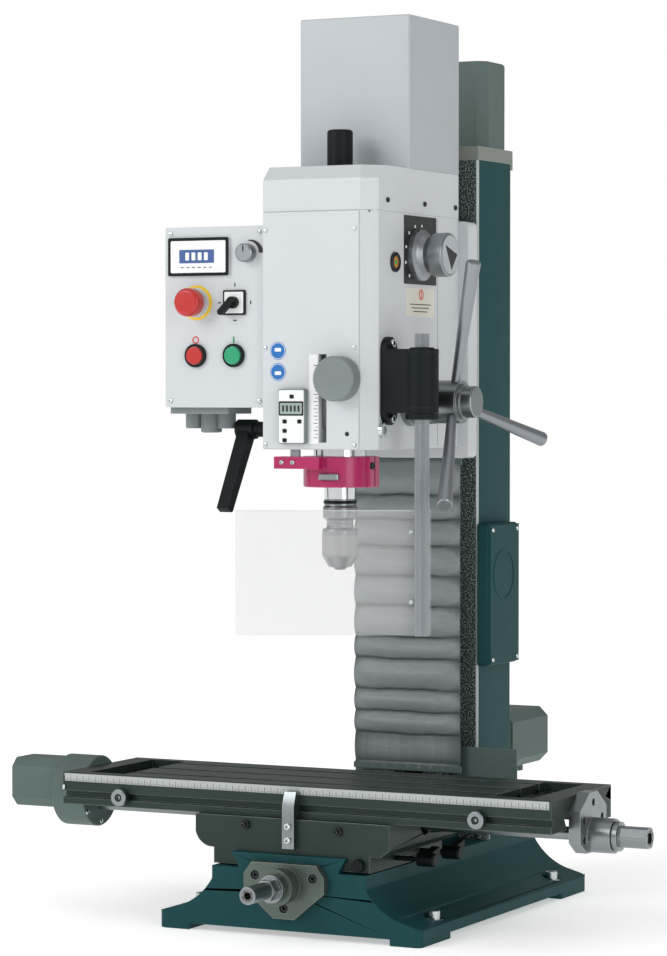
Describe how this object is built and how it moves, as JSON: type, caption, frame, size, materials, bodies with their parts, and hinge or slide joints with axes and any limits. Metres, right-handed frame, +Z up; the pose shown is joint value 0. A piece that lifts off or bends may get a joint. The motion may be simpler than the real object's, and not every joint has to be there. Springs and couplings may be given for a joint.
{
  "type": "benchtop milling machine",
  "caption": "Benchtop mill and drill with motor-driven X, Y and Z feeds, dovetail column, tilting head, quill, keyless chuck, swing guard and control box.",
  "frame": {"origin": "centre of the four hold-down holes, on the underside of the base", "axes": "+Z up, front of the machine towards -Y, +X to the operator's right"},
  "size_m": [0.979, 0.923, 1.272],
  "materials": {
    "cast_teal": "dark green-blue enamel on cast iron, satin",
    "head_grey": "light silver-grey enamel, satin",
    "machined_iron": "ground cast iron, oiled",
    "bright_steel": "turned steel, bright",
    "chrome": "ground and plated",
    "motor_grey": "grey-green enamel, satin",
    "magenta": "magenta enamel, satin",
    "black_plastic": "moulded, lightly grained",
    "grey_plastic": "moulded, satin",
    "red_plastic": "moulded, satin gloss",
    "green_plastic": "moulded, satin gloss",
    "bellows_cloth": "coated cloth, dull",
    "aluminium": "anodised profile",
    "clear_sheet": "clear polycarbonate",
    "bronze": "turned bronze",
    "belt_rubber": "toothed belt, dull",
    "cap_beige": "beige enamel, satin",
    "sheet_dark": "dark sheet steel",
    "hood_grey": "light grey enamel on sheet steel"
  },
  "bodies": {
    "base": {"base_casting": "cast_teal", "y_bearing_flange": "bright_steel", "column": "cast_teal", "column_cap": "cap_beige", "z_motor": "motor_grey", "y_drive_housing": "motor_grey", "y_motor": "motor_grey", "axis_belts": "belt_rubber", "junction_box": "cast_teal", "rear_sheet": "sheet_dark", "bellows": "bellows_cloth"},
    "y_screw": {"y_screw": "bright_steel"},
    "z_screw": {"z_screw": "bright_steel"},
    "saddle": {"saddle": "machined_iron", "feed_nuts": "bronze", "pointer_bracket": "bright_steel"},
    "saddle_knob": {"saddle_knob": "black_plastic"},
    "lock_lever_front": {"lock_lever_front": "black_plastic"},
    "lock_lever_rear": {"lock_lever_rear": "black_plastic"},
    "table": {"table": "machined_iron", "x_bearing_flange": "bright_steel", "x_drive_housing": "motor_grey", "x_motor": "motor_grey", "x_belt": "belt_rubber"},
    "x_screw": {"x_screw": "bright_steel"},
    "stop_left": {"stop_collar_left": "bright_steel"},
    "stop_right": {"stop_collar_right": "bright_steel"},
    "z_slide": {"z_slide": "head_grey", "z_nut": "bronze"},
    "head": {"head_casting": "head_grey", "head_cover": "head_grey", "motor_hood": "hood_grey", "spindle_motor": "motor_grey", "drawbar_cap": "black_plastic", "front_plate": "head_grey", "depth_readout": "grey_plastic", "guard_bracket": "black_plastic", "control_box": "head_grey", "control_panel": "head_grey", "cable_connectors": "grey_plastic"},
    "selector": {"selector_knob": "aluminium"},
    "feed": {"feed_hub": "bright_steel", "feed_levers": "aluminium"},
    "quill": {"quill": "chrome", "quill_ring": "magenta", "readout_scale": "aluminium", "depth_knob": "grey_plastic"},
    "spindle": {"spindle": "chrome", "chuck_body": "bright_steel", "chuck_jaws": "bright_steel"},
    "chuck_sleeve": {"chuck_sleeve": "bright_steel"},
    "quill_lock": {"quill_lock_lever": "black_plastic"},
    "guard_swivel": {"guard_swivel": "black_plastic"},
    "guard": {"guard_rail": "aluminium", "guard_panel": "clear_sheet"},
    "estop": {"estop_button": "red_plastic"},
    "stop_button": {"stop_button": "red_plastic"},
    "start_button": {"start_button": "green_plastic"},
    "mode_switch": {"mode_switch": "black_plastic"},
    "speed_knob": {"speed_knob": "aluminium"}
  },
  "joints": [
    {"name": "y_slide", "type": "slide", "parent": "base", "child": "saddle", "axis": [0, 1, 0], "range_m": [-0.095, 0.095]},
    {"name": "x_slide", "type": "slide", "parent": "saddle", "child": "table", "axis": [1, 0, 0], "range_m": [-0.2, 0.2]},
    {"name": "z_slide", "type": "slide", "parent": "base", "child": "z_slide", "axis": [0, 0, 1], "range_m": [-0.185, 0.08], "deforming": ["bellows"]},
    {"name": "y_screw_turn", "type": "hinge", "parent": "base", "child": "y_screw", "pos_m": [0, -0.3, 0.073], "axis": [0, 1, 0], "range_deg": [-6900, 6900]},
    {"name": "z_screw_turn", "type": "hinge", "parent": "base", "child": "z_screw", "pos_m": [0, 0.165, 0.6], "axis": [0, 0, 1], "range_deg": [-13400, 5800]},
    {"name": "x_screw_turn", "type": "hinge", "parent": "table", "child": "x_screw", "pos_m": [0.4, -0.165, 0.15], "axis": [1, 0, 0], "range_deg": [-14500, 14500]},
    {"name": "saddle_knob_turn", "type": "hinge", "parent": "saddle", "child": "saddle_knob", "pos_m": [0.104, -0.28, 0.104], "axis": [0, 1, 0], "range_deg": [-360, 360]},
    {"name": "lock_lever_front_turn", "type": "hinge", "parent": "saddle", "child": "lock_lever_front", "pos_m": [0.16, -0.2, 0.106], "axis": [1, 0, 0], "range_deg": [-45, 60]},
    {"name": "lock_lever_rear_turn", "type": "hinge", "parent": "saddle", "child": "lock_lever_rear", "pos_m": [0.16, -0.118, 0.106], "axis": [1, 0, 0], "range_deg": [-45, 60]},
    {"name": "stop_left_slide", "type": "slide", "parent": "table", "child": "stop_left", "axis": [1, 0, 0], "range_m": [-0.08, 0.045]},
    {"name": "stop_right_slide", "type": "slide", "parent": "table", "child": "stop_right", "axis": [1, 0, 0], "range_m": [-0.05, 0.08]},
    {"name": "head_tilt", "type": "hinge", "parent": "z_slide", "child": "head", "pos_m": [0, 0.08, 0.82], "axis": [0, 1, 0], "range_deg": [-90, 30]},
    {"name": "selector_turn", "type": "hinge", "parent": "head", "child": "selector", "pos_m": [0.1, -0.055, 0.936], "axis": [1, 0, 0], "range_deg": [-90, 90]},
    {"name": "quill_feed", "type": "slide", "parent": "head", "child": "quill", "axis": [0, 0, -1], "range_m": [0, 0.09], "stiffness_N_per_m": 300, "springref_m": -0.55},
    {"name": "feed_turn", "type": "hinge", "parent": "head", "child": "feed", "pos_m": [0.1, -0.0821, 0.73], "axis": [1, 0, 0], "range_deg": [-5, 500]},
    {"name": "spindle_turn", "type": "hinge", "parent": "quill", "child": "spindle", "pos_m": [0, -0.13, 0.6], "axis": [0, 0, 1], "continuous": true},
    {"name": "chuck_sleeve_turn", "type": "hinge", "parent": "spindle", "child": "chuck_sleeve", "pos_m": [0, -0.13, 0.53], "axis": [0, 0, 1], "range_deg": [-720, 720]},
    {"name": "quill_lock_turn", "type": "hinge", "parent": "head", "child": "quill_lock", "pos_m": [-0.11, -0.13, 0.691], "axis": [1, 0, 0], "range_deg": [-40, 40]},
    {"name": "guard_swing", "type": "hinge", "parent": "head", "child": "guard_swivel", "pos_m": [0.14, -0.158, 0.76], "axis": [0, 0, 1], "range_deg": [-6, 75]},
    {"name": "guard_lift", "type": "slide", "parent": "guard_swivel", "child": "guard", "axis": [0, 0, 1], "range_m": [0, 0.03]},
    {"name": "estop_press", "type": "slide", "parent": "head", "child": "estop", "axis": [0, 1, 0], "range_m": [0, 0.0045], "stiffness_N_per_m": 500},
    {"name": "stop_press", "type": "slide", "parent": "head", "child": "stop_button", "axis": [0, 1, 0], "range_m": [0, 0.003], "stiffness_N_per_m": 400},
    {"name": "start_press", "type": "slide", "parent": "head", "child": "start_button", "axis": [0, 1, 0], "range_m": [0, 0.003], "stiffness_N_per_m": 400},
    {"name": "mode_turn", "type": "hinge", "parent": "head", "child": "mode_switch", "pos_m": [-0.133, -0.2, 0.869], "axis": [0, -1, 0], "range_deg": [-90, 0]},
    {"name": "speed_turn", "type": "hinge", "parent": "head", "child": "speed_knob", "pos_m": [-0.112, -0.2, 0.938], "axis": [0, -1, 0], "range_deg": [-270, 0]}
  ],
  "couplings": [
    {"joint": "y_screw_turn", "follows": "y_slide", "rad_per_m": 1256.6},
    {"joint": "z_screw_turn", "follows": "z_slide", "rad_per_m": 1256.6},
    {"joint": "x_screw_turn", "follows": "x_slide", "rad_per_m": 1256.6},
    {"joint": "feed_turn", "follows": "quill_feed", "rad_per_m": 96.154}
  ]
}
